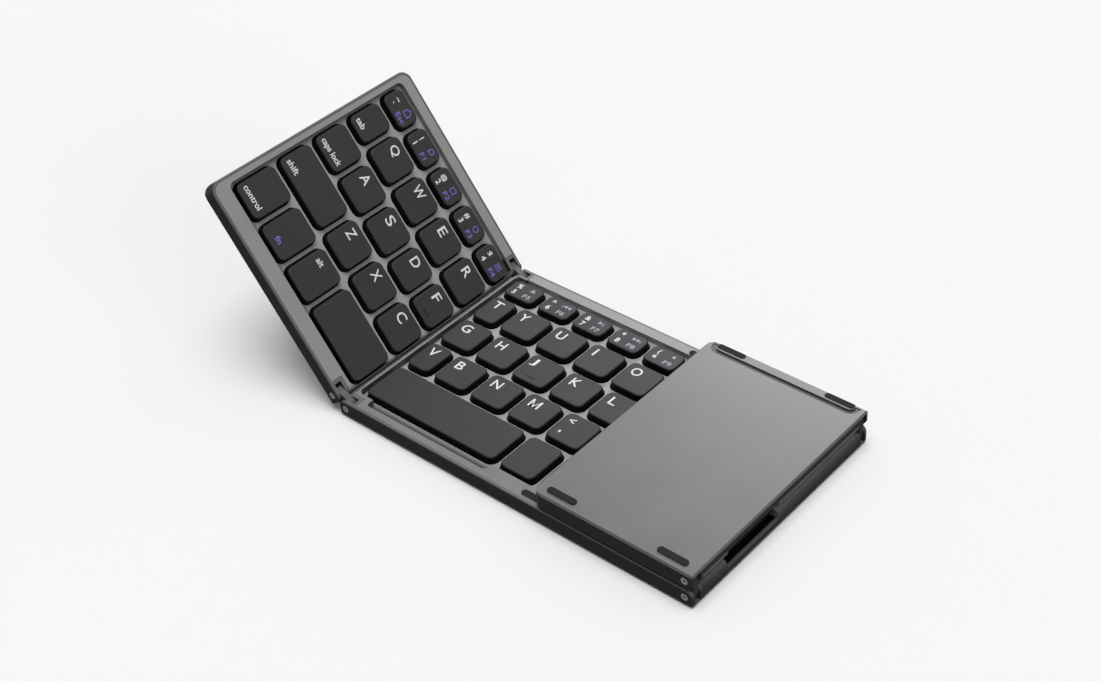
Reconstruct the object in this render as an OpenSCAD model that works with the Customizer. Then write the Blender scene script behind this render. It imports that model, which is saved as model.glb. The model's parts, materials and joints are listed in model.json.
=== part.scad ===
// Pocket keyboard in three folding panels.
// The middle panel lies on the desk. A key wing folds on its left end and a touch wing on its right end.
// Each wing hangs on two short link bars with a pin at both ends, so it can lie flat or fold right over.
// Every panel is drawn lying flat with its hinge end at x = 0, then it is set at its place.

/* [Panels] */
// Length of the middle panel
mid_w = 151; // [138:0.5:185]
// Width of the right wing, which holds the touch pad
right_w = 63.5; // [60:0.5:77]
// Space between the ends of both wings when they are folded over the middle panel
wing_space = 2; // [1:0.1:4]
// Depth of all three panels, front to back
panel_d = 95.5; // [84:0.5:116]
// Thickness of one panel, without its feet
panel_t = 6.2; // [6:0.1:7.6]
// Plan radius of a wing's free corners
corner_r = 4.5; // [2:0.5:6]
// Plan radius of the corners beside a hinge
hinge_corner_r = 0.8; // [0.4:0.1:1.2]
// Bevel along the lower edges
edge_bevel = 0.6; // [0.2:0.1:0.8]
// Bevel along the front and back upper edges
rim_bevel = 0.3; // [0.1:0.05:0.4]

/* [Fold] */
// Angle of the left wing, 0 is flat and 180 is folded over
left_angle = 53; // [0:1:180]
// Angle of the right wing, 0 is flat and 180 is folded over
right_angle = 180; // [0:1:180]
// Space between two panels that are folded together
fold_gap = 0.7; // [0.6:0.05:1.2]
// Height of the hinge pins above the panel's underside
pin_h = 3.2; // [3:0.05:3.6]

/* [Hinge links] */
// Thickness of the outer ear that shows each pin
ear_t = 1.4; // [1:0.1:1.8]
// Thickness of a link bar, along the pin
link_t = 2.4; // [1.6:0.1:2.8]
// Radius of a link bar's round end
link_r = 2.3; // [1.8:0.05:2.4]
// Thickness of the inner lug behind a link bar
lug_t = 1.3; // [1:0.1:1.5]
// Space beyond a link bar's end in the slot that it turns in
slot_room = 0.8; // [0.5:0.1:1.5]
// Radius of a hinge pin
pin_r = 0.9; // [0.7:0.05:1]
// Radius of a pin's riveted head
head_r = 1.3; // [1.2:0.05:1.5]
// Depth of a pin's riveted head
head_t = 0.6; // [0.4:0.05:0.8]
// Radial clearance of a pin in its ear and lug
pin_clear = 0.05; // [0.03:0.01:0.1]
// Space on each side of a link bar
link_clear = 0.15; // [0.1:0.05:0.2]

/* [Casing] */
// Thickness of a casing's floor
floor_t = 0.8; // [0.7:0.05:1]
// Thickness of a casing's rim beside the frame
rim_t = 0.9; // [0.8:0.1:1.2]
// Width of the ledge that the frame is seated on
ledge_w = 0.8; // [0.5:0.1:1]
// Height of that ledge
ledge_z = 3; // [2.8:0.05:3.2]
// Seam between a casing's rim and its frame
seam = 0.12; // [0.08:0.02:0.2]
// Thickness of a casing's wall beside a hinge
end_wall = 1.25; // [1:0.05:1.3]

/* [Keys] */
// Space between the feet of neighbouring keys
key_gap = 1.9; // [1.8:0.05:2.4]
// Depth of the bottom row's keys
bottom_row_d = 18.2; // [14:0.1:19]
// Depth of the number row's keys
number_row_d = 10.2; // [9:0.1:12]
// Width of the left wing's half space bar
half_space_w = 30.1; // [20:0.1:32]
// Width of the middle panel's bottom row keys, except its space bar
foot_key_w = 14.83; // [12:0.01:15]
// Plan radius of a key's corners
key_r = 3; // [1.5:0.1:3.4]
// Height of the key tops above the frame
key_proud = 0.1; // [0:0.05:0.2]
// How far a key's sides lean in, on each side
key_taper = 0.35; // [0.2:0.05:0.6]
// Bevel round the edge of a key's top
key_bevel = 0.45; // [0.3:0.05:0.6]
// Thickness of a key's top
key_top_t = 1; // [0.8:0.05:1.2]
// Thickness of a key's skirt at its foot
key_wall = 0.9; // [0.7:0.05:1]
// How far a key travels
key_travel = 1.2; // [0.8:0.05:1.2]
// Space round a key in its hole
hole_gap = 0.3; // [0.2:0.05:0.35]
// How far a key's tabs reach under the deck, past its hole
tab_reach = 0.3; // [0.2:0.05:0.35]
// Length of a key's tabs
tab_l = 5; // [3:0.5:6]
// Thickness of a key's tabs
tab_t = 0.5; // [0.4:0.05:0.6]
// Space between a tab and the deck over it
tab_clear = 0.05; // [0.03:0.01:0.1]

/* [Key deck] */
// Depth of the deck below the frame's top
deck_drop = 2.4; // [2:0.05:2.5]
// Plan radius of the well's corners
well_r = 2.4; // [1.5:0.1:3]
// Space between the well's wall and the keys
well_gap = 1.3; // [1:0.1:1.6]
// Distance from a panel's front edge to its first row of keys
front_margin = 8.2; // [7.6:0.1:9]
// Distance from a panel's back edge to the number row
back_margin = 6.15; // [5.8:0.05:7]
// Distance from the left wing's free end to its keys
left_far_margin = 4.3; // [3.8:0.1:5]
// Space between the middle panel's keys and the round edges beside them
mid_end_space = 1.05; // [0.95:0.05:2]
// Front edge of the thumb scoop before the space bar
scoop_y = 3.6; // [2.8:0.1:4.2]
// Start of the thumb scoop along the middle panel
scoop_x = 10; // [8:0.5:14]

/* [Circuit] */
// Thickness of the key circuit sheet
sheet_t = 0.35; // [0.2:0.05:0.4]
// Height of a rubber dome
dome_h = 2.7; // [2:0.1:2.8]
// Radius of a rubber dome's foot
dome_r = 2.6; // [2:0.1:3]
// Radius of a rubber dome's tip
dome_tip_r = 1.4; // [1:0.1:1.8]

/* [Touch wing] */
// Width of the touch pad
pad_w = 52; // [40:0.5:52]
// Depth of the touch pad
pad_d = 74; // [50:0.5:74]
// Depth of the pad's face below the frame
pad_drop = 0.15; // [0.1:0.05:0.3]
// Plan radius of the pad's corners
pad_r = 3; // [2:0.5:5]
// Space round the touch pad
pad_gap = 0.2; // [0.15:0.05:0.3]
// How far the pad moves when it is clicked
pad_travel = 0.3; // [0.2:0.05:0.4]
// Width of the battery
cell_w = 42; // [30:1:44]
// Depth of the battery
cell_d = 46; // [30:1:48]
// Thickness of the battery
cell_t = 2.6; // [1.8:0.1:2.8]
// Depth of the main circuit board
board_d = 22; // [16:0.5:24]
// Thickness of the main circuit board
board_t = 0.8; // [0.6:0.1:1]

/* [Feet] */
// Height of the rubber feet below the casing
foot_proud = 0.4; // [0.3:0.05:0.5]
// Depth of the feet's seats in the casing
foot_sink = 0.35; // [0.2:0.05:0.4]
// Length of a foot
foot_l = 11.5; // [8:0.5:14]
// Width of a foot
foot_w = 2.5; // [2:0.1:3]
// Distance from a panel's ends to its feet
foot_inset = 4.2; // [4:0.1:8]
// Distance from a panel's front edge to the middle of its front feet
foot_y = 3.8; // [3:0.1:5]
// Width of the raised rail along the back edge
rail_w = 3.8; // [3.6:0.1:6]
// Height of that rail
rail_h = 0.3; // [0.2:0.05:0.35]
// Distance from a panel's ends to its rail
rail_inset = 4; // [3:0.1:4]
// Width of the groove beside the rail
groove_w = 1.8; // [0.5:0.1:2]
// Depth of the groove beside the rail
groove_t = 0.25; // [0.15:0.05:0.3]
// Height of the bumper pads above the frame
bumper_proud = 0.3; // [0.2:0.05:0.4]
// Distance from a panel's edges to the middle of its bumper pads
bumper_y = 3.4; // [3:0.1:4]

/* [Ribbon window] */
// Distance from the front edge to the window of the right hinge
window_y = 18; // [12:0.5:30]
// Length of that window
window_l = 27; // [18:0.5:30]
// Thickness of the ribbon cable in it
ribbon_t = 0.3; // [0.2:0.05:0.4]
// Space between the ribbon and a hinge axis
ribbon_short = 0.6; // [0.4:0.05:0.8]

/* [Charging port] */
// Width of the port's metal shell
port_w = 8.9; // [8.9:0.1:9.2]
// Height of the port's metal shell
port_h = 3.2; // [3.1:0.05:3.3]
// Depth of the port's metal shell
port_d = 7; // [6:0.5:8]
// Thickness of the port's metal shell
port_wall = 0.3; // [0.25:0.05:0.35]
// Width of the contact tongue inside the port
tongue_w = 6.6; // [6:0.1:6.8]
// Thickness of the contact tongue
tongue_t = 0.7; // [0.6:0.05:0.8]

/* [Hidden] */
$fn = 48;
EPS = 0.01;
OVER = 1;
left_w = mid_w - right_w - wing_space;
end_r = panel_t - pin_h;
mid_end_margin = end_r + mid_end_space;
pin_pitch = 2 * end_r + fold_gap;
sweep_clear = 0.1;
sweep_r = pin_pitch / 2 - sweep_clear;
slot_w = link_t + 2 * link_clear;
slot_l = end_r + link_r + slot_room;
lug_y = ear_t + slot_w + lug_t;
block_wall = 1.2;
dimple_r = head_r / 3;
dimple_t = head_t / 2;
block_l = slot_l + block_wall;
deck_z = panel_t - deck_drop;
key_z = panel_t + key_proud;
key_rise = key_z - pin_h;
left_hinge_margin = end_r - sqrt(sweep_r * sweep_r - key_rise * key_rise) - key_taper;
letter_row_d = (panel_d - front_margin - back_margin - bottom_row_d - number_row_d - 4 * key_gap) / 3;
free_r = 0.4;
cell_x = 8;
cell_y = 10;
cell_r = 1;
board_x = 6;
port_in = 0.1;
port_clear = 0.1;
tongue_in = 1;
window_clear = 0.15;
window_z = pin_h - ribbon_t / 2 - window_clear;
window_in = end_r + ribbon_t / 2 + window_clear;
pad_flange = 0.8;
pad_flange_t = 0.6;
frame_skin = 1.4;
seat_w = 1;
scoop_short = 2;
scoop_r = well_r / 2;
PANEL_GREY = [0.6, 0.6, 0.61];
SIDE_GREY = [0.5, 0.5, 0.51];
KEY_BLACK = [0.17, 0.17, 0.18];
RUBBER = [0.1, 0.1, 0.1];

shift_w = 28.65;
caps_w = 15.2;
index_key_w = 13.3;
tab_w = 11.75;
v_key_w = 10.7;
g_key_w = 14.7;
t_key_w = 11;
shift_end_w = 11.65;
home_end_w = 24.6;
top_end_w = 11.35;

// Each row lists its keys from left to right as name and width, and a width of 0 shares what is left.
LEFT_ROWS = [
    [["key_control", 0], ["key_fn", 0], ["key_alt", 0], ["left_space", half_space_w]],
    [["key_shift", shift_w], ["key_z", 0], ["key_x", 0], ["key_c", 0]],
    [["key_caps", caps_w], ["key_a", 0], ["key_s", 0], ["key_d", index_key_w], ["key_f", index_key_w]],
    [["key_tab", tab_w], ["key_q", 0], ["key_w", 0], ["key_e", 0], ["key_r", 0]],
    [for (k = [0:4]) ["left_number_keys", 0]],
];
MID_ROWS = [
    concat([["mid_space", 0], ["key_meta", foot_key_w]], [for (k = [0:3]) ["covered_keys", foot_key_w]]),
    concat([["key_v", v_key_w], ["key_b", 0], ["key_n", 0], ["key_m", 0], ["key_comma", 0]],
           [for (k = [0:2]) ["covered_keys", 0]], [["covered_keys", shift_end_w]]),
    concat([["key_g", g_key_w], ["key_h", 0], ["key_j", 0], ["key_k", 0], ["key_l", 0]],
           [for (k = [0:1]) ["covered_keys", 0]], [["covered_keys", home_end_w]]),
    concat([["key_t", t_key_w], ["key_y", 0], ["key_u", 0], ["key_i", 0], ["key_o", 0]],
           [for (k = [0:2]) ["covered_keys", 0]], [["covered_keys", top_end_w]]),
    [for (k = [0:8]) ["mid_number_keys", 0]],
];

LEFT_KEYS = ["key_tab", "key_q", "key_w", "key_e", "key_r", "key_caps", "key_a", "key_s", "key_d",
    "key_f", "key_shift", "key_z", "key_x", "key_c", "key_control", "key_fn", "key_alt", "left_space",
    "left_number_keys"];
MID_KEYS = ["key_t", "key_y", "key_u", "key_i", "key_o", "key_g", "key_h", "key_j", "key_k", "key_l",
    "key_v", "key_b", "key_n", "key_m", "key_comma", "mid_space", "key_meta", "mid_number_keys",
    "covered_keys"];

// Sum of the first n numbers of a list
function sum(list, n) = n <= 0 ? 0 : list[n - 1] + sum(list, n - 1);
// Width that each key of width 0 gets in a row
function share(row, span) = let (fixed = sum([for (k = row) k[1]], len(row)),
    open = len([for (k = row) if (k[1] == 0) k])) open == 0 ? 0 :
    (span - fixed - (len(row) - 1) * key_gap) / open;
// Widths of a row's keys
function widths(row, span) = [for (k = row) k[1] == 0 ? share(row, span) : k[1]];
// Depth of each row and its front edge, counted from the front
function row_depth(r) = r == 0 ? bottom_row_d : r == 4 ? number_row_d : letter_row_d;
function row_front(r) = r == 0 ? front_margin : row_front(r - 1) + row_depth(r - 1) + key_gap;
// Every key of a panel as name, left edge, front edge, width and depth
function places(rows, start, span) = [for (r = [0:4]) let (w = widths(rows[r], span))
    for (k = [0:len(w) - 1])
        [rows[r][k][0], start + sum(w, k) + k * key_gap, row_front(r), w[k], row_depth(r)]];

left_span = left_w - left_far_margin - left_hinge_margin;
left_places = places(LEFT_ROWS, left_far_margin, left_span);
mid_span = mid_w - 2 * mid_end_margin;
mid_places = places(MID_ROWS, mid_end_margin, mid_span);
scoop_end = mid_places[1][1] - scoop_short;

// Flat plate outline with its own corner radius at each end
module plate(w, d, r0, r1) {
    polygon([[r0, 0], [w - r1, 0], [w, r1], [w, d - r1], [w - r1, d], [r0, d], [0, d - r0], [0, r0]]);
    for (y = [r0, d - r0]) translate([r0, y]) circle(r0);
    for (y = [r1, d - r1]) translate([w - r1, y]) circle(r1);
}

// Bar outline with round ends
module stadium(l, w) {
    translate([-l / 2 + w / 2, -w / 2]) square([l - w, w]);
    for (x = [-1, 1]) translate([x * (l - w) / 2, 0]) circle(w / 2);
}

// Panel seen from its front, with the round upper corners that roll past each other at a hinge
module side_profile(w, r0, r1) {
    polygon([[edge_bevel, 0], [w - edge_bevel, 0], [w, edge_bevel], [w, panel_t - r1],
        [w - r1, panel_t], [r0, panel_t], [0, panel_t - r0], [0, edge_bevel]]);
    translate([r0, panel_t - r0]) circle(r0);
    translate([w - r1, panel_t - r1]) circle(r1);
}

// Panel seen from its end
module depth_profile() {
    polygon([[edge_bevel, 0], [panel_d - edge_bevel, 0], [panel_d, edge_bevel],
        [panel_d, panel_t - rim_bevel], [panel_d - rim_bevel, panel_t], [rim_bevel, panel_t],
        [0, panel_t - rim_bevel], [0, edge_bevel]]);
}

// Solid outside form of a panel, hinged at x = 0 and at its far end if hinge_ends is 2
module envelope(w, hinge_ends) {
    far_side_r = hinge_ends == 2 ? end_r : free_r;
    far_plan_r = hinge_ends == 2 ? hinge_corner_r : corner_r;
    intersection() {
        linear_extrude(panel_t) plate(w, panel_d, hinge_corner_r, far_plan_r);
        translate([0, panel_d, 0]) rotate([90, 0, 0]) linear_extrude(panel_d)
            side_profile(w, end_r, far_side_r);
        rotate([90, 0, 90]) linear_extrude(w) depth_profile();
    }
}

// Copies a hinge end's shape to the front and back corners, and to the far end if hinge_ends is 2
module at_ears(w, hinge_ends) {
    for (e = [0:hinge_ends - 1]) {
        translate([e * w, 0, 0]) mirror([e, 0, 0]) children();
        translate([e * w, panel_d, 0]) mirror([0, 1, 0]) mirror([e, 0, 0]) children();
    }
}

// Block behind the ear that holds both ends of a pin
module ear_block(grow) {
    translate([-OVER, -OVER, -OVER])
        cube([block_l + grow + OVER, lug_y + grow + OVER, panel_t + 2 * OVER]);
}

// Slot and pin bores of one ear
module ear_cut() {
    translate([-OVER, ear_t, pin_h]) cube([slot_l + OVER, slot_w, panel_t]);
    translate([-OVER, ear_t, pin_h - link_r - link_clear])
        cube([end_r + OVER, slot_w, panel_t]);
    translate([end_r, ear_t + slot_w, pin_h]) rotate([90, 0, 0])
        cylinder(h = slot_w, r = link_r + link_clear);
    translate([end_r, lug_y + OVER, pin_h]) rotate([90, 0, 0])
        cylinder(h = lug_y + 2 * OVER, r = pin_r + pin_clear);
    translate([end_r, head_t, pin_h]) rotate([90, 0, 0])
        cylinder(h = head_t + OVER, r = head_r + pin_clear);
}

// Foot places along a panel of width w, as x and y
function foot_places(w) = [for (x = [foot_inset + foot_l / 2, w - foot_inset - foot_l / 2],
    y = [foot_y, panel_d - rail_w / 2]) [x, y]];

// Open tray with ears, a ledge for the frame, seats for the feet and a rail along the back
module casing(w, hinge_ends) {
    far = hinge_ends == 2 ? w + OVER : w - rim_t;
    floor_end = hinge_ends == 2 ? w - end_wall : w - rim_t - ledge_w;
    rail_l = w - 2 * rail_inset;
    difference() {
        union() {
            intersection() {
                envelope(w, hinge_ends);
                union() {
                    difference() {
                        cube([w, panel_d, panel_t]);
                        translate([-OVER, rim_t, ledge_z]) linear_extrude(panel_t)
                            plate(far + OVER, panel_d - 2 * rim_t, free_r, corner_r - rim_t);
                        translate([end_wall, rim_t + ledge_w, floor_t]) linear_extrude(panel_t)
                            plate(floor_end - end_wall, panel_d - 2 * (rim_t + ledge_w), free_r,
                                corner_r - rim_t - ledge_w);
                    }
                    at_ears(w, hinge_ends) ear_block(0);
                }
            }
            intersection() {
                translate([0, 0, -rail_h]) linear_extrude(rail_h + EPS)
                    plate(w, panel_d - edge_bevel, hinge_corner_r, corner_r);
                translate([w / 2, panel_d - rail_w / 2, -rail_h]) linear_extrude(rail_h + EPS)
                    stadium(rail_l, rail_w);
            }
        }
        at_ears(w, hinge_ends) ear_cut();
        for (p = foot_places(w)) translate([p[0], p[1], -OVER]) linear_extrude(foot_sink + OVER)
            stadium(foot_l, foot_w);
        translate([0, 0, -EPS]) linear_extrude(groove_t + EPS) rail_groove(w, rail_l);
    }
}

// Groove along the front and round the ends of the rail
module rail_groove(w, rail_l) {
    intersection() {
        difference() {
            translate([w / 2, panel_d - rail_w / 2])
                stadium(rail_l + 2 * groove_w, rail_w + 2 * groove_w);
            translate([w / 2, panel_d - rail_w / 2]) stadium(rail_l, rail_w);
        }
        square([w, panel_d - 2 * edge_bevel]);
    }
}

// Holes that a panel's keys travel in
module key_holes(list) {
    for (k = list) translate([k[1] - hole_gap, k[2] - hole_gap])
        plate(k[3] + 2 * hole_gap, k[4] + 2 * hole_gap, key_r + hole_gap, key_r + hole_gap);
}

// Frame blank between the casing's rims, with a round end over the casing's wall beside each hinge
module frame_blank(w, hinge_ends) {
    inset = rim_t + seam;
    far = hinge_ends == 2 ? w + OVER : w - inset;
    intersection() {
        envelope(w, hinge_ends);
        difference() {
            translate([-OVER, inset, ledge_z]) linear_extrude(panel_t)
                plate(far + OVER, panel_d - 2 * inset, free_r, corner_r - inset);
            at_ears(w, hinge_ends) ear_block(seam);
        }
    }
}

// Window beside the right hinge that the ribbon cable turns in
module ribbon_window() {
    translate([-OVER, window_y, window_z]) cube([window_in + OVER, window_l, panel_t]);
}

// Foot pads of one panel
module feet(w) {
    for (p = foot_places(w)) translate([p[0], p[1], -foot_proud])
        linear_extrude(foot_proud + foot_sink) stadium(foot_l, foot_w);
}

// Key circuit sheet with a rubber dome under every key
module circuit(w, list, near, far) {
    translate([near, lug_y + seam, floor_t]) linear_extrude(sheet_t)
        square([w - near - far, panel_d - 2 * (lug_y + seam)]);
    for (k = list) translate([k[1] + k[3] / 2, k[2] + k[4] / 2, floor_t + sheet_t])
        cylinder(h = dome_h, r1 = dome_r, r2 = dome_tip_r);
}

// Half of a key's outline from its middle to one side, with a straight skirt, a leaning side and a bevel
module key_side(reach, skirt, rise) {
    top = reach - key_taper;
    polygon([[0, 0], [reach, 0], [reach, skirt], [top, rise - key_bevel], [top - key_bevel, rise],
        [0, rise]]);
}

// Solid form of a key, with the same outline turned round each of its corners
module key_body(w, d, skirt, rise) {
    for (e = [0, 1]) {
        translate([w / 2, d - key_r, 0]) mirror([e, 0, 0]) rotate([90, 0, 0])
            linear_extrude(d - 2 * key_r) key_side(w / 2, skirt, rise);
        translate([key_r, d / 2, 0]) mirror([0, e, 0]) rotate([90, 0, 90])
            linear_extrude(w - 2 * key_r) key_side(d / 2, skirt, rise);
    }
    for (x = [key_r, w - key_r], y = [key_r, d - key_r]) translate([x, y, 0])
        rotate_extrude() key_side(key_r, skirt, rise);
}

// Hollow key with a tab at its front and back that holds it under the deck
module key_cap(w, d) {
    foot = ledge_z - tab_clear - tab_t;
    rise = key_z - foot;
    skirt = deck_z - foot;
    inner = key_wall + key_taper;
    reach = hole_gap + tab_reach;
    translate([0, 0, foot]) difference() {
        union() {
            key_body(w, d, skirt, rise);
            translate([w / 2 - tab_l / 2, -reach, 0]) cube([tab_l, d + 2 * reach, tab_t]);
        }
        translate([inner, inner, -OVER]) linear_extrude(rise - key_top_t + OVER)
            plate(w - 2 * inner, d - 2 * inner, key_r - key_wall, key_r - key_wall);
    }
}

// All keys of one name from a list of places
module keys_named(list, name) {
    for (k = list) if (k[0] == name) translate([k[1], k[2], 0]) key_cap(k[3], k[4]);
}

// Sets a panel that was drawn from its hinge end onto the middle panel's left side
module on_left() {
    turn = left_angle / 2;
    translate([-mid_w / 2 + end_r - pin_pitch * cos(turn), -panel_d / 2,
        foot_proud + pin_h + pin_pitch * sin(turn)]) rotate([0, left_angle, 0])
        translate([end_r - left_w, 0, -pin_h]) children();
}

// Sets a panel that was drawn from its hinge end onto the middle panel's right side
module on_right() {
    turn = right_angle / 2;
    translate([mid_w / 2 - end_r + pin_pitch * cos(turn), -panel_d / 2,
        foot_proud + pin_h + pin_pitch * sin(turn)]) rotate([0, -right_angle, 0])
        translate([-end_r, 0, -pin_h]) children();
}

// Sets the middle panel
module in_middle() {
    translate([-mid_w / 2, -panel_d / 2, foot_proud]) children();
}

// Mirrors a panel that was drawn with its hinge at x = 0, so that its hinge is at x = w
module flipped(w) {
    translate([w, 0, 0]) mirror([1, 0, 0]) children();
}

// Sets what was drawn along a link, from the middle panel's pin at x = 0, onto a hinge
module on_link(side, angle) {
    translate([side * (mid_w / 2 - end_r), -panel_d / 2, foot_proud + pin_h])
        rotate([0, -side * angle, 0]) mirror([side < 0 ? 1 : 0, 0, 0]) children();
}

// Pair of link bars with a pin bore at both ends
module links() {
    for (y = [ear_t + link_clear, panel_d - ear_t - link_clear - link_t])
        translate([0, y + link_t, 0]) rotate([90, 0, 0]) linear_extrude(link_t) difference() {
            translate([pin_pitch / 2, 0]) stadium(pin_pitch + 2 * link_r, 2 * link_r);
            for (x = [0, pin_pitch]) translate([x, 0]) circle(pin_r);
        }
}

// Four pins with a dimpled head in each ear
module pins() {
    for (x = [0, pin_pitch], back = [0, 1]) translate([x, back * panel_d, 0])
        mirror([0, back, 0]) rotate([-90, 0, 0]) difference() {
            union() {
                cylinder(h = lug_y, r = pin_r);
                cylinder(h = head_t, r = head_r);
            }
            translate([0, 0, -OVER]) cylinder(h = dimple_t + OVER, r = dimple_r);
        }
}

module mid_casing() {
    color(PANEL_GREY) in_middle() difference() {
        casing(mid_w, 2);
        flipped(mid_w) ribbon_window();
    }
}

module mid_frame() {
    well_w = mid_span + 2 * well_gap;
    color(SIDE_GREY) in_middle() difference() {
        frame_blank(mid_w, 2);
        translate([0, 0, deck_z]) linear_extrude(panel_t) {
            translate([mid_end_margin - well_gap, front_margin - well_gap])
                plate(well_w, well_depth(), well_r, well_r);
            thumb_scoop();
        }
        translate([0, 0, floor_t]) linear_extrude(panel_t) key_holes(mid_places);
        flipped(mid_w) ribbon_window();
        for (y = [bumper_y, panel_d - bumper_y]) bumper_at(y);
    }
}

// Depth of the well that the keys stand in
function well_depth() = panel_d - front_margin - back_margin + 2 * well_gap;

// Scoop in front of the space bar, with one round end and one slanting end
module thumb_scoop() {
    slant = front_margin - well_gap - scoop_y;
    polygon([[scoop_x, scoop_y + scoop_r], [scoop_x + scoop_r, scoop_y], [scoop_end, scoop_y],
        [scoop_end + slant, scoop_y + slant], [scoop_end + slant, front_margin],
        [scoop_x, front_margin]]);
    translate([scoop_x + scoop_r, scoop_y + scoop_r]) circle(scoop_r);
}

module mid_circuit() {
    color("darkgreen") in_middle()
        circuit(mid_w, mid_places, end_wall + seam, end_wall + seam);
}

module mid_feet() {
    color(RUBBER) in_middle() feet(mid_w);
}

// Bumper pad where the ends of both folded wings meet
module bumper_at(y) {
    translate([(left_w + mid_w - right_w) / 2, y, panel_t - foot_sink])
        linear_extrude(foot_sink + bumper_proud)
        stadium(foot_l, foot_w);
}

module bumpers() {
    color(RUBBER) in_middle()
        for (y = [bumper_y, panel_d - bumper_y]) bumper_at(y);
}

module left_links() {
    color("silver") on_link(-1, left_angle / 2) links();
}

module left_pins() {
    color("silver") on_link(-1, left_angle / 2) pins();
}

module left_casing() {
    color(PANEL_GREY) on_left() flipped(left_w) casing(left_w, 1);
}

module left_frame() {
    color(SIDE_GREY) on_left() difference() {
        flipped(left_w) frame_blank(left_w, 1);
        translate([left_far_margin - well_gap, front_margin - well_gap, deck_z])
            linear_extrude(panel_t)
            plate(left_span + well_gap + hole_gap, well_depth(), well_r, key_r);
        translate([0, 0, floor_t]) linear_extrude(panel_t) key_holes(left_places);
    }
}

module left_circuit() {
    color("darkgreen") on_left()
        circuit(left_w, left_places, rim_t + ledge_w + seam, end_wall + seam);
}

module left_feet() {
    color(RUBBER) on_left() feet(left_w);
}

module right_links() {
    color("silver") on_link(1, right_angle / 2) links();
}

module right_pins() {
    color("silver") on_link(1, right_angle / 2) pins();
}

// Ribbon cable between the two pin lines of the right hinge
module right_ribbon() {
    color("black") on_link(1, right_angle / 2)
        translate([ribbon_short, window_y + OVER, -ribbon_t / 2])
        cube([pin_pitch - 2 * ribbon_short, window_l - 2 * OVER, ribbon_t]);
}

module right_casing() {
    color(PANEL_GREY) on_right() difference() {
        casing(right_w, 1);
        ribbon_window();
        translate([right_w / 2, panel_d + OVER, port_z()]) rotate([90, 0, 0])
            linear_extrude(rim_t + ledge_w + 2 * OVER) port_hole();
    }
}

// Outline of the hole that the charging port stands in
module port_hole() {
    stadium(port_w + 2 * port_clear, port_h + 2 * port_clear);
}

module right_frame() {
    pad_x = (right_w - pad_w) / 2;
    pad_y = (panel_d - pad_d) / 2;
    inner = rim_t + ledge_w + seat_w;
    color(SIDE_GREY) on_right() difference() {
        frame_blank(right_w, 1);
        translate([end_wall, inner, 0]) linear_extrude(panel_t - frame_skin)
            plate(right_w - end_wall - inner, panel_d - 2 * inner, free_r, corner_r - inner + seat_w);
        translate([pad_x - pad_gap, pad_y - pad_gap, 0]) linear_extrude(panel_t + OVER)
            plate(pad_w + 2 * pad_gap, pad_d + 2 * pad_gap, pad_r + pad_gap, pad_r + pad_gap);
        ribbon_window();
        translate([right_w / 2, panel_d, port_z()]) rotate([90, 0, 0])
            linear_extrude(inner + OVER) port_hole();
    }
}

// Click pad with a flange that holds it under the frame
module touch_pad() {
    pad_x = (right_w - pad_w) / 2;
    pad_y = (panel_d - pad_d) / 2;
    face = panel_t - pad_drop;
    flange_z = panel_t - frame_skin - tab_clear - pad_flange_t;
    color(KEY_BLACK) on_right() {
        translate([pad_x - pad_flange, pad_y - pad_flange, flange_z])
            linear_extrude(pad_flange_t) plate(pad_w + 2 * pad_flange, pad_d + 2 * pad_flange,
                pad_r, pad_r);
        translate([pad_x, pad_y, flange_z]) linear_extrude(face - flange_z)
            plate(pad_w, pad_d, pad_r, pad_r);
    }
}

// Height of the charging port's middle
function port_z() = floor_t + board_t + port_h / 2;

// Circuit board of the touch wing, along its back
module main_board() {
    color("darkgreen") on_right()
        translate([board_x, panel_d - lug_y - seam - board_d, floor_t])
        cube([right_w - 2 * board_x, board_d, board_t]);
}

// Charging port, a round-ended metal shell with a contact tongue, standing on the board's edge
module charging_port() {
    color("silver") on_right() translate([right_w / 2, panel_d - port_in, port_z()])
        rotate([90, 0, 0]) {
            linear_extrude(port_d) difference() {
                stadium(port_w, port_h);
                stadium(port_w - 2 * port_wall, port_h - 2 * port_wall);
            }
            translate([0, 0, port_d - port_wall]) linear_extrude(port_wall)
                stadium(port_w - port_wall, port_h - port_wall);
            translate([-tongue_w / 2, -tongue_t / 2, tongue_in])
                cube([tongue_w, tongue_t, port_d - tongue_in - EPS]);
        }
}

// Flat pouch battery on the casing's floor
module battery() {
    color("silver") on_right() translate([cell_x, cell_y, floor_t]) linear_extrude(cell_t)
        plate(cell_w, cell_d, cell_r, cell_r);
}

module right_feet() {
    color(RUBBER) on_right() feet(right_w);
}

// One key, or one group of keys, of the left wing
module left_key(name) {
    color(KEY_BLACK) on_left() keys_named(left_places, name);
}

// One key, or one group of keys, of the middle panel
module mid_key(name) {
    color(KEY_BLACK) in_middle() keys_named(mid_places, name);
}

mid_casing();
mid_frame();
mid_circuit();
mid_feet();
bumpers();
left_links();
left_pins();
left_casing();
left_frame();
left_circuit();
left_feet();
right_links();
right_pins();
right_ribbon();
right_casing();
right_frame();
touch_pad();
main_board();
charging_port();
battery();
right_feet();
for (name = LEFT_KEYS) left_key(name);
for (name = MID_KEYS) mid_key(name);
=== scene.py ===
import json
import math
import bpy
from mathutils import Matrix, Vector

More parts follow.
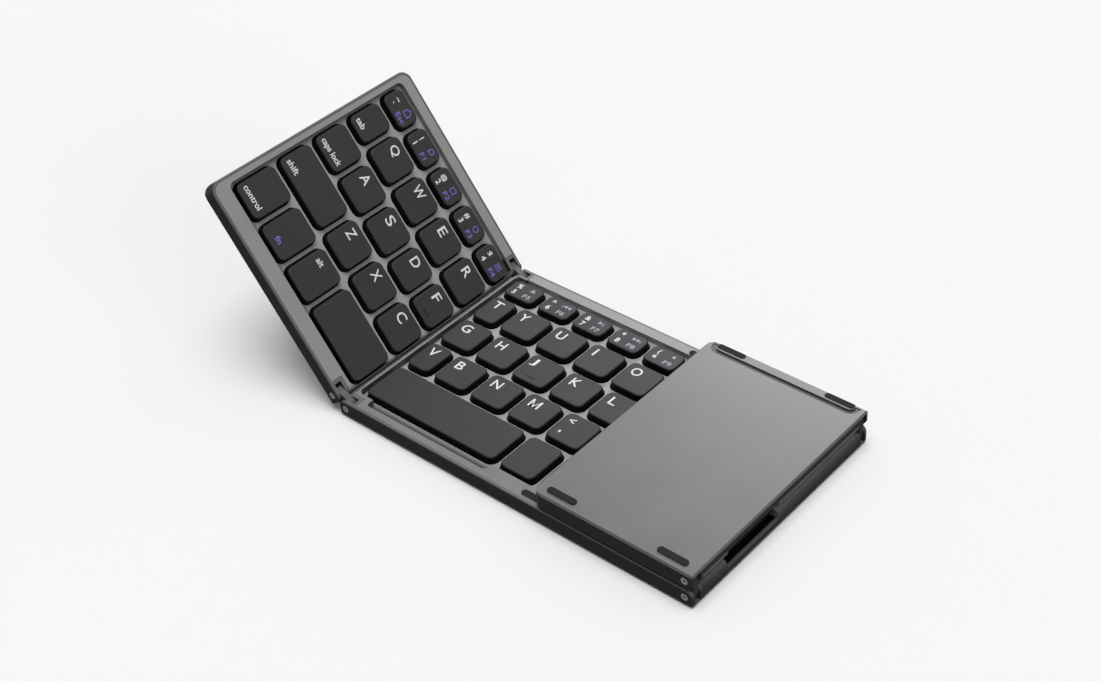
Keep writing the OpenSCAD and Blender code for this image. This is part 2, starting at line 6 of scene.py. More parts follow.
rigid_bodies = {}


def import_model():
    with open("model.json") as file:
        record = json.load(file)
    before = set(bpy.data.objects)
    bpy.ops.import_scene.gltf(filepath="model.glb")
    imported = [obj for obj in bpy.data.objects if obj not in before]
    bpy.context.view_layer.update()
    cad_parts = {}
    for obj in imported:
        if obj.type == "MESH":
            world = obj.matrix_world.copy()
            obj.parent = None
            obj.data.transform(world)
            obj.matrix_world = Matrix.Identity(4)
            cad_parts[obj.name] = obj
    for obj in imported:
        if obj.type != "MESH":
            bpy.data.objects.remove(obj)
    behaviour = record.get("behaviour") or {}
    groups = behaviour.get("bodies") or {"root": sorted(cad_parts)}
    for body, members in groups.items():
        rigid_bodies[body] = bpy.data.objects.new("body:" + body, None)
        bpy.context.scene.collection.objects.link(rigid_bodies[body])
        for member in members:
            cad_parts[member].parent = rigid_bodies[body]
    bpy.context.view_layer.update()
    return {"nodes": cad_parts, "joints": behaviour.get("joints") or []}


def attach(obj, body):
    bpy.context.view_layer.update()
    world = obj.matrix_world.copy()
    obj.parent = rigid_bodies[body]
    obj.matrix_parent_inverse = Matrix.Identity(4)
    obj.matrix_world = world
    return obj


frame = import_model()
nodes = frame["nodes"]


# CAMERA
# It stands high over the front right corner and looks at the middle panel.
# Its lens is a little longer than normal.
MM = 0.001
CAMERA_AT_MM = (307.12, -352.07, 404.42)
CAMERA_TURN_DEG = (51.858, 3.065, 40.419)
LENS_MM = 59.82
FILM_WIDTH_MM = 36
NEAREST_MM = 10

camera_data = bpy.data.cameras.new("camera")
camera_data.lens = LENS_MM
camera_data.sensor_width = FILM_WIDTH_MM
camera_data.clip_start = NEAREST_MM * MM
camera = bpy.data.objects.new("camera", camera_data)
camera.location = Vector(CAMERA_AT_MM) * MM
camera.rotation_euler = [math.radians(a) for a in CAMERA_TURN_DEG]
bpy.context.scene.collection.objects.link(camera)
bpy.context.scene.camera = camera
bpy.context.scene.view_settings.view_transform = "Standard"


# STUDIO
# A white paper floor, with one soft lamp straight above, a weak one low on the right and a strip lamp behind.
# A flag keeps the strip's light off the floor, and the floor and sky are white to the camera alone.
# The room is brighter behind than in front, so the walls that face the camera stay dark, and painted shade on
# the walls darkens them further.
FLOOR_M = 12
FLOOR_DOWN_MM = 0.1
FLOOR_WHITE = "#fafafa"
SKY_WHITE = "#f7f7f7"
SKY_FRONT, SKY_BACK = 0.03, 0.42
BRIGHT_SIDE = (-0.4, 0.75, 0.5)
FLOOR_BOUNCE = 0.1


def linear(hex_colour):
    """An sRGB hex colour as linear red, green, blue and alpha."""
    parts = [int(hex_colour[i : i + 2], 16) / 255 for i in (1, 3, 5)]
    return [c / 12.92 if c <= 0.04045 else ((c + 0.055) / 1.055) ** 2.4 for c in parts] + [1]


def add(tree, kind, given):
    """Adds a node. A socket in given is linked, and any other value is set on the input or the property."""
    node = tree.nodes.new("ShaderNode" + kind)
    for name, value in given.items():
        if isinstance(value, bpy.types.NodeSocket):
            tree.links.new(value, node.inputs[name])
        elif isinstance(name, int) or name in node.inputs:
            node.inputs[name].default_value = value
        else:
            setattr(node, name, value)
    return node


def new_material(name):
    """An empty node material, as its tree and its output node."""
    material = bpy.data.materials.new(name)
    material.use_nodes = True
    material.node_tree.nodes.clear()
    return material, material.node_tree, material.node_tree.nodes.new("ShaderNodeOutputMaterial")


world = bpy.data.worlds.new("studio")
bpy.context.scene.world = world
world.use_nodes = True
sky = world.node_tree
sky.nodes.clear()
ray = add(sky, "LightPath", {})
way = add(sky, "VectorMath", {"operation": "DOT_PRODUCT", 0: add(sky, "TexCoord", {}).outputs["Generated"],
                              1: Vector(BRIGHT_SIDE).normalized()})
level = add(sky, "MapRange", {"Value": way.outputs["Value"], "From Min": -1, "From Max": 1,
                              "To Min": SKY_FRONT, "To Max": SKY_BACK})
dim = add(sky, "Background", {"Color": linear("#ffffff"), "Strength": level.outputs[0]})
bright = add(sky, "Background", {"Color": linear(SKY_WHITE), "Strength": 1.0})
mix = add(sky, "MixShader", {0: ray.outputs["Is Camera Ray"], 1: dim.outputs[0], 2: bright.outputs[0]})
add(sky, "OutputWorld", {"Surface": mix.outputs[0]})

paper, tree, out = new_material("white_paper_floor")
ray = add(tree, "LightPath", {})
white = add(tree, "BsdfDiffuse", {"Color": linear(FLOOR_WHITE)})
bounce = add(tree, "BsdfDiffuse", {"Color": [FLOOR_BOUNCE] * 3 + [1]})
mix = add(tree, "MixShader", {0: ray.outputs["Is Camera Ray"], 1: bounce.outputs[0], 2: white.outputs[0]})
tree.links.new(mix.outputs[0], out.inputs["Surface"])

bpy.ops.object.select_all(action="DESELECT")
bpy.ops.mesh.primitive_plane_add(size=FLOOR_M, location=(0, 0, -FLOOR_DOWN_MM * MM))
floor = bpy.context.object
floor.name = "floor"
floor.data.materials.append(paper)

# Each sun: name, strength, angle in degrees and where it shines from
SUNS = [("overhead", 2.0, 42, (0.06, -0.08, 1.0)), ("side", 0.6, 40, (0.95, -0.1, 0.3))]
STRIP_AT = (-0.26, 0.66, 0.38)
STRIP_SIZE = (0.4, 0.25)
STRIP_POWER = 2.5


def aim(lamp, at):
    """Turns a lamp from its place towards the middle of the part."""
    lamp.location = at
    lamp.rotation_euler = (-Vector(at)).to_track_quat("-Z", "Y").to_euler()
    bpy.context.scene.collection.objects.link(lamp)


for name, strength, angle, at in SUNS:
    sun = bpy.data.lights.new(name, "SUN")
    sun.energy = strength
    sun.angle = math.radians(angle)
    aim(bpy.data.objects.new(name, sun), at)
strip = bpy.data.lights.new("back_strip", "AREA")
strip.shape = "RECTANGLE"
strip.size, strip.size_y = STRIP_SIZE
strip.energy = STRIP_POWER
strip_lamp = bpy.data.objects.new("back_strip", strip)
aim(strip_lamp, STRIP_AT)

# A flag keeps the strip's light off the floor, which stays even
flagged = bpy.data.collections.new("flagged_from_strip")
flagged.objects.link(floor)
strip_lamp.light_linking.receiver_collection = flagged
for item in flagged.collection_objects:
    item.light_linking.link_state = "EXCLUDE"


# CASINGS
# Each panel's tray is pressed and machined aluminium, bead-blasted and then anodised dark grey.
# That gives a fine even grit, a soft broad sheen, and edges that catch a thin line of light.
ANODISED_GREY = "#757576"
ANODISED_DARK = "#707071"
# Painted shade on the casings' side walls: the part of their colour that the walls keep, and the facing range
# over which it fades in
WALL_PAINTED_SHADE = 0.42
WALL_FROM, WALL_TO = 0.1, 0.9
FLAT_FROM = 0.95
# Real blasting marks are finer than 0.1 mm and would not show, so they are drawn this coarse
BLAST_GRIT_MM = 0.22
# The groove round the folded wing's rail: the painted shade on its floor, and the heights of its floor and of
# the wing's back
GROOVE_PAINTED_SHADE = 0.35
GROOVE_FLOOR_MM = 13.25
COVER_MM = 13.5
# The middle panel's front left corner at its underside, and the left hinge's size and angle
PANEL_CORNER_MM = (-75.5, -47.75, 0.4)
LEFT_ANGLE_DEG = 53
PIN_IN_MM = 3.0
PIN_UP_MM = 3.2
PIN_PITCH_MM = 6.7
LEFT_W_MM = 85.5

half_turn = math.radians(LEFT_ANGLE_DEG) / 2
left_pin = Vector(PANEL_CORNER_MM) + Vector((PIN_IN_MM - PIN_PITCH_MM * math.cos(half_turn), 0,
                                              PIN_UP_MM + PIN_PITCH_MM * math.sin(half_turn)))
MID_PLACE = Matrix.Translation(PANEL_CORNER_MM)
LEFT_PLACE = (Matrix.Translation(left_pin) @ Matrix.Rotation(math.radians(LEFT_ANGLE_DEG), 4, "Y")
              @ Matrix.Translation((PIN_IN_MM - LEFT_W_MM, 0, -PIN_UP_MM)))


def object_place(tree, scale_mm):
    """Object coordinates, counted in grains of scale_mm."""
    place = add(tree, "TexCoord", {}).outputs["Object"]
    grains = {"operation": "SCALE", "Vector": place, "Scale": 1 / (scale_mm * MM)}
    return add(tree, "VectorMath", grains).outputs[0]


# How a fine finish uses its noises: the grain's share in the tone, the stretch of the sum that spans the two
# colours, the stretch of a noise that is used, how far the gloss swings and how deep a grain's dent is
GRAIN_SHARE = 0.35
TONE_LOW, TONE_HIGH = 0.45, 0.9
NOISE_LOW, NOISE_HIGH = 0.3, 0.7
GLOSS_SWING = 0.03
DENT_SHARE = 0.3


def fine_finish(name, light, dark, grain_mm, roughness, metallic=0.0, bump=0.05, patch_mm=18, shade=None):
    """A surface with a grain of grain_mm, and slow changes of tone and gloss that are about patch_mm wide.

    shade takes the material's tree and gives the socket of painted light or shade that its tone is multiplied
    by.
    """
    material, tree, out = new_material(name)
    grain = add(tree, "TexNoise", {"Vector": object_place(tree, grain_mm), "Scale": 1, "Detail": 2})
    patch = add(tree, "TexNoise", {"Vector": object_place(tree, patch_mm), "Scale": 1, "Detail": 3})
    both = add(tree, "Math", {"operation": "MULTIPLY_ADD", 0: grain.outputs[0], 1: GRAIN_SHARE,
                              2: patch.outputs[0]})
    tone = add(tree, "MapRange", {"Value": both.outputs[0], "From Min": TONE_LOW, "From Max": TONE_HIGH})
    colour = add(tree, "Mix", {"data_type": "RGBA", 0: tone.outputs[0], 6: linear(dark), 7: linear(light)})
    colour = colour.outputs[2]
    if shade:
        toned = {"operation": "SCALE", "Vector": colour, "Scale": shade(tree)}
        colour = add(tree, "VectorMath", toned).outputs[0]
    gloss = add(tree, "MapRange", {"Value": patch.outputs[0], "From Min": NOISE_LOW, "From Max": NOISE_HIGH,
                                   "To Min": roughness - GLOSS_SWING, "To Max": roughness + GLOSS_SWING})
    dent = add(tree, "Bump", {"Height": grain.outputs[0], "Strength": bump,
                              "Distance": grain_mm * MM * DENT_SHARE})
    shader = add(tree, "BsdfPrincipled", {"Base Color": colour, "Roughness": gloss.outputs[0],
                                          "Metallic": metallic, "Normal": dent.outputs[0]})
    tree.links.new(shader.outputs[0], out.inputs["Surface"])
    return material


def paint(material, names):
    """Puts one material on CAD nodes."""
    for name in names:
        mesh = nodes[name].data
        mesh.materials.clear()
        mesh.materials.append(material)


def facing(tree, panel, axis):
    """How squarely a face looks along a panel's axis, either way: 1 when it does, 0 when it is edge-on."""
    face = add(tree, "TexCoord", {}).outputs["Normal"]
    along = add(tree, "VectorMath", {"operation": "DOT_PRODUCT", 0: face, 1: panel.to_3x3() @ Vector(axis)})
    return add(tree, "Math", {"operation": "ABSOLUTE", 0: along.outputs["Value"]}).outputs[0]


def is_flat(tree, panel):
    """1 on faces that look straight up or down in a panel, and 0 on all others."""
    up = facing(tree, panel, (0, 0, 1))
    return add(tree, "Math", {"operation": "GREATER_THAN", 0: up, 1: FLAT_FROM}).outputs[0]


def painted_wall_shade(panel):
    """Painted shade that darkens a panel's side walls, falling from its flat faces to them."""

    def shade(tree):
        return add(tree, "MapRange", {"Value": facing(tree, panel, (0, 0, 1)), "From Min": WALL_FROM,
                                      "From Max": WALL_TO, "To Min": WALL_PAINTED_SHADE, "To Max": 1}).outputs[0]

    return shade


def painted_cover_shade(tree):
    """The painted wall shade of the folded touch wing, with painted shade on the floor of the groove round
    its rail.
    """
    place = add(tree, "SeparateXYZ", {0: add(tree, "TexCoord", {}).outputs["Object"]})
    level = add(tree, "MapRange", {"Value": place.outputs["Z"], "From Min": GROOVE_FLOOR_MM * MM,
                                   "From Max": COVER_MM * MM, "To Min": 1, "To Max": 0})
    low = add(tree, "Math", {"operation": "MULTIPLY", 0: level.outputs[0], 1: is_flat(tree, MID_PLACE)})
    tone = add(tree, "MapRange", {"Value": low.outputs[0], "To Min": 1, "To Max": GROOVE_PAINTED_SHADE}).outputs[0]
    return add(tree, "Math", {"operation": "MULTIPLY", 0: tone, 1: painted_wall_shade(MID_PLACE)(tree)}).outputs[0]


def anodised(name, shade):
    """Blasted and anodised metal, with the painted shade that shade gives."""
    return fine_finish(name, ANODISED_GREY, ANODISED_DARK, BLAST_GRIT_MM, roughness=0.4, metallic=0.35,
                       bump=0.12, shade=shade)


# Painted shade darkens the casings' side walls, and the floor of the folded wing's groove
paint(anodised("bead_blasted_aluminium", painted_wall_shade(MID_PLACE)), ["mid_casing"])
paint(anodised("bead_blasted_aluminium_left", painted_wall_shade(LEFT_PLACE)), ["left_casing"])
paint(anodised("bead_blasted_aluminium_right", painted_cover_shade), ["right_casing"])


# KEY FRAMES
# Each panel's deck, bezel and round hinge edge are one moulding, painted to match the casing.
# The paint is a satin coat with a little orange peel, slightly lighter than the metal.
# Painted light makes it lighter between the keys, and painted shade darkens its walls, the well's edges and
# the middle panel's front bezel.
SATIN_GREY = "#929293"
SATIN_DARK = "#8b8b8c"
# The waves of the orange peel, at about their real width
PEEL_MM = 0.6
# Painted shade on walls that face along a panel's length, and the range of facing over which it fades in
SIDE_PAINTED_SHADE = 0.25
SIDE_FROM, SIDE_TO = 0.25, 0.85
# Painted light on the deck between the keys, which holds up to the first of these heights and is gone at the
# second
DECK_PAINTED_LIGHT = 1.3
DECK_LEVEL_MM = (4.0, 5.8)
# The painted shade on the deck at a well's left and front wall, how wide it fades, and where the walls stand
# in each panel
EDGE_PAINTED_SHADE, EDGE_MM = 0.25, 1.5
MID_WELL_MM, LEFT_WELL_MM = (2.5, 5.9), (3.0, 8.3)
# The painted shade on the front bezel, how deep the bezel is, and how wide that shade fades behind it
FRONT_PAINTED_SHADE, FRONT_MM, FRONT_FADE_MM = 0.68, 6.0, 8.0


def height_in(tree, panel, axis=(0, 0, 1)):
    """How far along a panel's axis a point lies from its corner, in mm: its height when no axis is given."""
    way = panel.to_3x3() @ Vector(axis)
    place = add(tree, "TexCoord", {}).outputs["Object"]
    along = add(tree, "VectorMath", {"operation": "DOT_PRODUCT", 0: place, 1: way / MM})
    from_corner = {"operation": "SUBTRACT", 0: along.outputs["Value"], 1: panel.translation.dot(way)}
    return add(tree, "Math", from_corner).outputs[0]


def painted_deck_light_and_shade(panel, well, front):
    """Painted light on the deck between the keys, and painted shade on walls and round edges beside a hinge.

    Painted shade darkens the deck towards the well's left and front wall, which stand at well, where little
    light comes in.
    Painted shade gives the bezel in front the tone front.
    """

    def shade(tree):
        deep = add(tree, "MapRange", {"Value": height_in(tree, panel), "From Min": DECK_LEVEL_MM[0],
                                      "From Max": DECK_LEVEL_MM[1], "To Min": 1, "To Max": 0})
        deck = add(tree, "Math", {"operation": "MULTIPLY", 0: deep.outputs[0], 1: is_flat(tree, panel)})
        edges = []
        for axis, at in (((1, 0, 0), well[0]), ((0, 1, 0), well[1])):
            edges.append(add(tree, "MapRange", {"Value": height_in(tree, panel, axis), "From Min": at,
                                                "From Max": at + EDGE_MM, "To Min": EDGE_PAINTED_SHADE, "To Max": 1}))
        edge = add(tree, "Math", {"operation": "MINIMUM", 0: edges[0].outputs[0], 1: edges[1].outputs[0]})
        tone = add(tree, "Math", {"operation": "MULTIPLY", 0: edge.outputs[0], 1: DECK_PAINTED_LIGHT})
        deck = add(tree, "MapRange", {"Value": deck.outputs[0], "To Min": 1, "To Max": tone.outputs[0]})
        fall = add(tree, "MapRange", {"Value": height_in(tree, panel, (0, 1, 0)), "From Min": FRONT_MM,
                                      "From Max": FRONT_MM + FRONT_FADE_MM, "To Min": front, "To Max": 1})
        deck = add(tree, "Math", {"operation": "MULTIPLY", 0: deck.outputs[0], 1: fall.outputs[0]})
        side = add(tree, "MapRange", {"Value": facing(tree, panel, (1, 0, 0)), "From Min": SIDE_FROM,
                                      "From Max": SIDE_TO, "To Min": 1, "To Max": SIDE_PAINTED_SHADE})
        return add(tree, "Math", {"operation": "MULTIPLY", 0: deck.outputs[0], 1: side.outputs[0]}).outputs[0]

    return shade


def satin(name, shade=None):
    """Satin paint, with the painted light and shade that shade gives, if any."""
    return fine_finish(name, SATIN_GREY, SATIN_DARK, PEEL_MM, roughness=0.45, bump=0.06, shade=shade)


# The decks carry painted light, and the walls, well edges and middle front bezel painted shade
paint(satin("satin_paint_on_moulded_plastic", painted_deck_light_and_shade(MID_PLACE, MID_WELL_MM, FRONT_PAINTED_SHADE)), ["mid_frame"])
paint(satin("satin_paint_on_moulded_plastic_left", painted_deck_light_and_shade(LEFT_PLACE, LEFT_WELL_MM, 1)), ["left_frame"])
paint(satin("satin_paint_right"), ["right_frame"])


# KEYS
# Each key is a moulded cap in black plastic with a fine spark texture on its top.
# The top reflects the studio softly, and painted shade turns the leaning sides near black, with little sheen.
KEY_TOP = "#2a2a2b"
KEY_SIDE_PAINTED_SHADE = "#010101"
KEY_TOP_Z_MM = 6.3
# Real spark marks are finer than 0.1 mm and would not show, so they are drawn this coarse
SPARK_MM = 0.16
SPARK_BUMP = 0.15
# How wide the slow changes in the keys' gloss are
WEAR_MM = 9
# How far below the top the sides' painted shade begins to lighten and where it ends
FADE_MM = (0.5, 0.04)
# The roughness that the wear swings between, and the sheen from the sides' painted shade up to the top
KEY_GLOSS = (0.5, 0.58)
KEY_SHEEN = (0.12, 0.5)


def sliding_on(panel_body):
    """The CAD nodes of the keys that slide in a panel's body, each named like its own body."""
    joints = [j for j in frame["joints"] if j["parent"] == panel_body and j["type"] == "slide"]
    return [j["child"].removesuffix("_body") for j in joints]


def key_plastic(name, panel):
    """Key plastic with painted shade on its sides: near black and with little sheen below the top, by the
    height above the panel's underside.
    """
    material, tree, out = new_material(name)
    rise = add(tree, "MapRange", {"Value": height_in(tree, panel), "interpolation_type": "SMOOTHSTEP",
                                  "From Min": KEY_TOP_Z_MM - FADE_MM[0],
                                  "From Max": KEY_TOP_Z_MM - FADE_MM[1]})
    spark = add(tree, "TexNoise", {"Vector": object_place(tree, SPARK_MM), "Scale": 1, "Detail": 2})
    wear = add(tree, "TexNoise", {"Vector": object_place(tree, WEAR_MM), "Scale": 1, "Detail": 2})
    colour = add(tree, "Mix", {"data_type": "RGBA", 0: rise.outputs[0], 6: linear(KEY_SIDE_PAINTED_SHADE),
                               7: linear(KEY_TOP)})
    gloss = add(tree, "MapRange", {"Value": wear.outputs[0], "From Min": NOISE_LOW, "From Max": NOISE_HIGH,
                                   "To Min": KEY_GLOSS[0], "To Max": KEY_GLOSS[1]})
    dent = add(tree, "Bump", {"Height": spark.outputs[0], "Strength": SPARK_BUMP,
                              "Distance": SPARK_MM * MM * DENT_SHARE})
    sheen = add(tree, "MapRange", {"Value": rise.outputs[0], "To Min": KEY_SHEEN[0], "To Max": KEY_SHEEN[1]})
    shader = add(tree, "BsdfPrincipled", {"Base Color": colour.outputs[2], "Roughness": gloss.outputs[0],
                                          "Normal": dent.outputs[0], "Specular IOR Level": sheen.outputs[0]})
    tree.links.new(shader.outputs[0], out.inputs["Surface"])
    return material


# The keys' sides carry painted shade
paint(key_plastic("spark_textured_abs_left", LEFT_PLACE), sliding_on("left_wing"))
paint(key_plastic("spark_textured_abs_middle", MID_PLACE), sliding_on("middle"))


# LEGENDS
# The marks are pad-printed on the key tops in white ink, with the second functions in violet blue.
# Each mark is a thin film that follows its key. On the middle panel the violet is painted paler, as painted
# sheen.
WHITE_INK = "#dcdcdc"
BLUE_INK = "#706ec4"
# The paler violet is the violet ink with a painted sheen
SHEEN_PALE_INK = "#a6a4ba"
INK_MM = 0.03
INK_PATCH_MM = 0.5
INK_GLOSS = (0.4, 0.6)
TAB_REACH_MM = 0.6
CAP_HEIGHT_OF_FONT = 0.682
CURVE_STEPS = 6
LETTER_MM = 3.9
LETTER_BOLD_MM = 0.055
WORD_MM = 2.26
WORD_BOLD_MM = 0.06


def ink(name, hex_colour):
    """Printed ink with a slight patchiness."""
    material, tree, out = new_material(name)
    patch = add(tree, "TexNoise", {"Vector": object_place(tree, INK_PATCH_MM), "Scale": 1, "Detail": 2})
    gloss = add(tree, "MapRange", {"Value": patch.outputs[0], "To Min": INK_GLOSS[0], "To Max": INK_GLOSS[1]})
    shader = add(tree, "BsdfPrincipled", {"Base Color": linear(hex_colour), "Roughness": gloss.outputs[0]})
    tree.links.new(shader.outputs[0], out.inputs["Surface"])
    return material


inks = {"white": ink("white_pad_print", WHITE_INK), "blue": ink("violet_pad_print", BLUE_INK),
        "pale": ink("violet_pad_print_with_painted_sheen", SHEEN_PALE_INK)}


def key_areas(node, panel):
    """The foot of each key in a node, row by row from the back: its left, front, right and back edge.

    The edges are in the panel's mm, without the tabs that reach under the deck at front and back.
    Vertices that share a place or a face belong to one key.
    """
    away = panel.inverted()
    points = [away @ (v.co / MM) for v in nodes[node].data.vertices]
    group = list(range(len(points)))

    def root(i):
        while group[i] != i:
            group[i] = group[group[i]]
            i = group[i]
        return i

    same = {}
    for i, p in enumerate(points):
        key = (round(p.x, 2), round(p.y, 2), round(p.z, 2))
        group[root(i)] = root(same.setdefault(key, i))
    for polygon in nodes[node].data.polygons:
        first = root(polygon.vertices[0])
        for v in polygon.vertices[1:]:
            group[root(v)] = first
    boxes = {}
    for i, p in enumerate(points):
        b = boxes.setdefault(root(i), [p.x, p.y, p.x, p.y])
        b[:] = [min(b[0], p.x), min(b[1], p.y), max(b[2], p.x), max(b[3], p.y)]
    areas = [[b[0], b[1] + TAB_REACH_MM, b[2], b[3] - TAB_REACH_MM] for b in boxes.values()]
    return sorted(areas, key=lambda b: (-round(b[1]), b[0]))


def print_mark(text, cap_mm, x, y, align, bold=LETTER_BOLD_MM, length_mm=None, stretch=1, tail_mm=None):
    """One printed text whose capitals are cap_mm high, with its foot at x, y in the panel's mm.

    bold is how far each stroke is widened. A text is stretched to length_mm, when given, or else by stretch.
    A letter that hangs below the line is squeezed, so that it hangs by tail_mm only.
    """
    bpy.ops.object.select_all(action="DESELECT")
    bpy.ops.object.text_add()
    mark = bpy.context.object
    size = cap_mm / CAP_HEIGHT_OF_FONT
    mark.data.body = text
    mark.data.size = size
    mark.data.align_x = align
    mark.data.offset = bold
    mark.data.extrude = INK_MM / 2
    mark.data.resolution_u = CURVE_STEPS
    bpy.ops.object.convert(target="MESH")
    mark = bpy.context.object
    if length_mm:
        stretch = length_mm / mark.dimensions.x
    if tail_mm is not None:
        low = min(v.co.y for v in mark.data.vertices)
        squeeze = (cap_mm + tail_mm) / (cap_mm - low)
        lift = Matrix.Translation((0, -tail_mm - low * squeeze, 0))
        mark.data.transform(lift @ Matrix.Diagonal((1, squeeze, 1, 1)))
    mark.data.transform(Matrix.Translation((x, y, KEY_TOP_Z_MM)) @ Matrix.Diagonal((stretch, 1, 1, 1)))
    return mark


def finish_marks(name, marks, panel, body, colour):
    """Joins a key's marks of one ink and sets them on the key."""
    bpy.ops.object.select_all(action="DESELECT")
    for mark in marks:
        mark.select_set(True)
    bpy.context.view_layer.objects.active = marks[0]
    if len(marks) > 1:
        bpy.ops.object.join()
    whole = bpy.context.object
    whole.name = name
    whole.data.transform(Matrix.Scale(MM, 4) @ panel)
    whole.data.materials.clear()
    whole.data.materials.append(inks[colour])
    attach(whole, body)


# Where a letter's foot stands from its key's left and back edge, and how long each letter is
LETTER_IN = (2.9, 6.8)
LEFT_LETTERS = {"q": 4.0, "w": 5.1, "e": 3.1, "r": 3.5, "a": 3.8, "s": 3.3, "d": 3.7, "f": 2.8,
                "z": 3.4, "x": 3.6, "c": 3.7}
MID_LETTERS = {"t": 3.7, "y": 3.6, "u": 3.5, "i": 0.75, "o": 4.0, "g": 4.0, "h": 3.4, "j": 2.4,
               "k": 3.5, "l": 2.9, "v": 3.8, "b": 3.2, "n": 3.6, "m": 4.2}
# How far a letter hangs below the line
TAILS = {"q": 0.3, "j": 0.05}
# The part of the M's width, to either side of its centre, that is lowered
M_MIDDLE = 0.2


def lower_middle(mark):
    """Brings the middle of an M down to the line: the font's is short, and the printed one's isn't."""
    ends = [f(v.co.x for v in mark.data.vertices) for f in (min, max)]
    foot = min(v.co.y for v in mark.data.vertices)
    reach = M_MIDDLE * (ends[1] - ends[0])
    middle = [v for v in mark.data.vertices if abs(v.co.x - sum(ends) / 2) < reach]
    drop = min(v.co.y for v in middle) - foot
    for v in middle:
        v.co.y -= drop


for letters, panel in ((LEFT_LETTERS, LEFT_PLACE), (MID_LETTERS, MID_PLACE)):
    for letter, length in letters.items():
        left, front, right, back = key_areas("key_" + letter, panel)[0]
        mark = print_mark(letter.upper(), LETTER_MM, left + LETTER_IN[0], back - LETTER_IN[1], "LEFT",
                          length_mm=length, tail_mm=TAILS.get(letter))
        if letter == "m":
            lower_middle(mark)
        finish_marks("mark_key_" + letter, [mark], panel, "key_" + letter + "_body", "white")

# Words stand near the key's front left corner, apart from two.
# Each has its key, ink and length, and how far it stands in from the key's left and front edge.
WORDS = [
    ("tab", "key_tab", "white", 4.4, 2.1, 2.6), ("caps lock", "key_caps", "white", 11.0, 1.9, 2.7),
    ("shift", "key_shift", "white", 5.8, 2.0, 2.9), ("control", "key_control", "white", 9.4, 1.9, 3.0),
    ("alt", "key_alt", "white", 3.2, 3.0, 12.4), ("fn", "key_fn", "blue", 2.7, 5.6, 3.0),
]
for word, node, colour, length, x, y in WORDS:
    left, front, right, back = key_areas(node, LEFT_PLACE)[0]
    mark = print_mark(word, WORD_MM, left + x, front + y, "LEFT", WORD_BOLD_MM, length)
    finish_marks("mark_" + node, [mark], LEFT_PLACE, node + "_body", colour)

# The comma key's two marks: the upper one's size as a part of a letter's, and how far each stands in.
# The upper one is measured from the left and back edge, and the comma from the left and front edge.
ANGLE_SHARE = 0.8
ANGLE_IN = (2.9, 5.6)
COMMA_IN = (3.3, 4.4)
left, front, right, back = key_areas("key_comma", MID_PLACE)[0]
marks = [print_mark("<", LETTER_MM * ANGLE_SHARE, left + ANGLE_IN[0], back - ANGLE_IN[1], "LEFT"),
         print_mark(",", LETTER_MM, left + COMMA_IN[0], front + COMMA_IN[1], "LEFT")]
finish_marks("mark_key_comma", marks, MID_PLACE, "key_comma_body", "white")

# Number keys carry a shifted sign over a digit in white, and a small picture over a function name in blue.
# Each picture has its size and how far it stands above the line of the signs.
SIGNS = ["~`", "!1", "@2", "#3", "$4", "%5", "^6", "&7", "*8", "(9", ")0", "_-", "+=", "⌫ "]
PICTURES = [("⌂", 3.3, -0.2), ("⌕", 3.4, 0), ("□", 2.3, 0), ("○", 2.3, 0), ("▣", 2.3, 0),
            ("⏏", 1.8, 0.3), ("|◀◀", 1.25, 0.7), ("▶||", 1.25, 0.7), ("▶▶|", 1.25, 0.7),
            ("◀", 1.25, 0.7), ("◀)", 1.25, 0.7), ("◀))", 1.25, 0.7), ("▤", 1.8, 0.3), ("", 0, 0)]
NAMES = ["Esc"] + ["F%d" % k for k in range(1, 13)] + [""]
NAME_MM, NAME_STRETCH = 1.95, 1.3
DIGIT_MM, AT_SIGN_MM = 2.25, 1.8
WHITE_IN_MM, BLUE_IN_MM = 3.9, 9.8
DIGIT_BOLD_MM, PICTURE_BOLD_MM, NAME_BOLD_MM = 0.07, 0.02, 0.03


def number_row(node, panel, first, sign_up, digit_up, second_ink):
    """All marks of one panel's number keys, of which the first carries the marks numbered first.

    Signs stand sign_up and digits digit_up behind the key's front edge.
    """
    white, second = [], []
    for k, (left, front, right, back) in enumerate(key_areas(node, panel)):
        upper, lower = SIGNS[first + k]
        for text, up in ((upper, sign_up), (lower, digit_up)):
            if text.strip():
                size = AT_SIGN_MM if text == "@" else DIGIT_MM
                white.append(print_mark(text, size, left + WHITE_IN_MM, front + up, "CENTER", DIGIT_BOLD_MM))
        picture, size, raised = PICTURES[first + k]
        if picture:
            second.append(print_mark(picture, size, left + BLUE_IN_MM, front + sign_up + raised, "CENTER",
                                     PICTURE_BOLD_MM))
        if NAMES[first + k]:
            second.append(print_mark(NAMES[first + k], NAME_MM, left + BLUE_IN_MM, front + digit_up, "CENTER",
                                     NAME_BOLD_MM, stretch=NAME_STRETCH))
    finish_marks("white_marks_" + node, white, panel, node + "_body", "white")
    finish_marks("second_marks_" + node, second, panel, node + "_body", second_ink)


number_row("left_number_keys", LEFT_PLACE, first=0, sign_up=5.2, digit_up=1.8, second_ink="blue")
# The middle panel's second marks take the paler violet, a painted sheen
number_row("mid_number_keys", MID_PLACE, first=5, sign_up=5.7, digit_up=2.15, second_ink="pale")

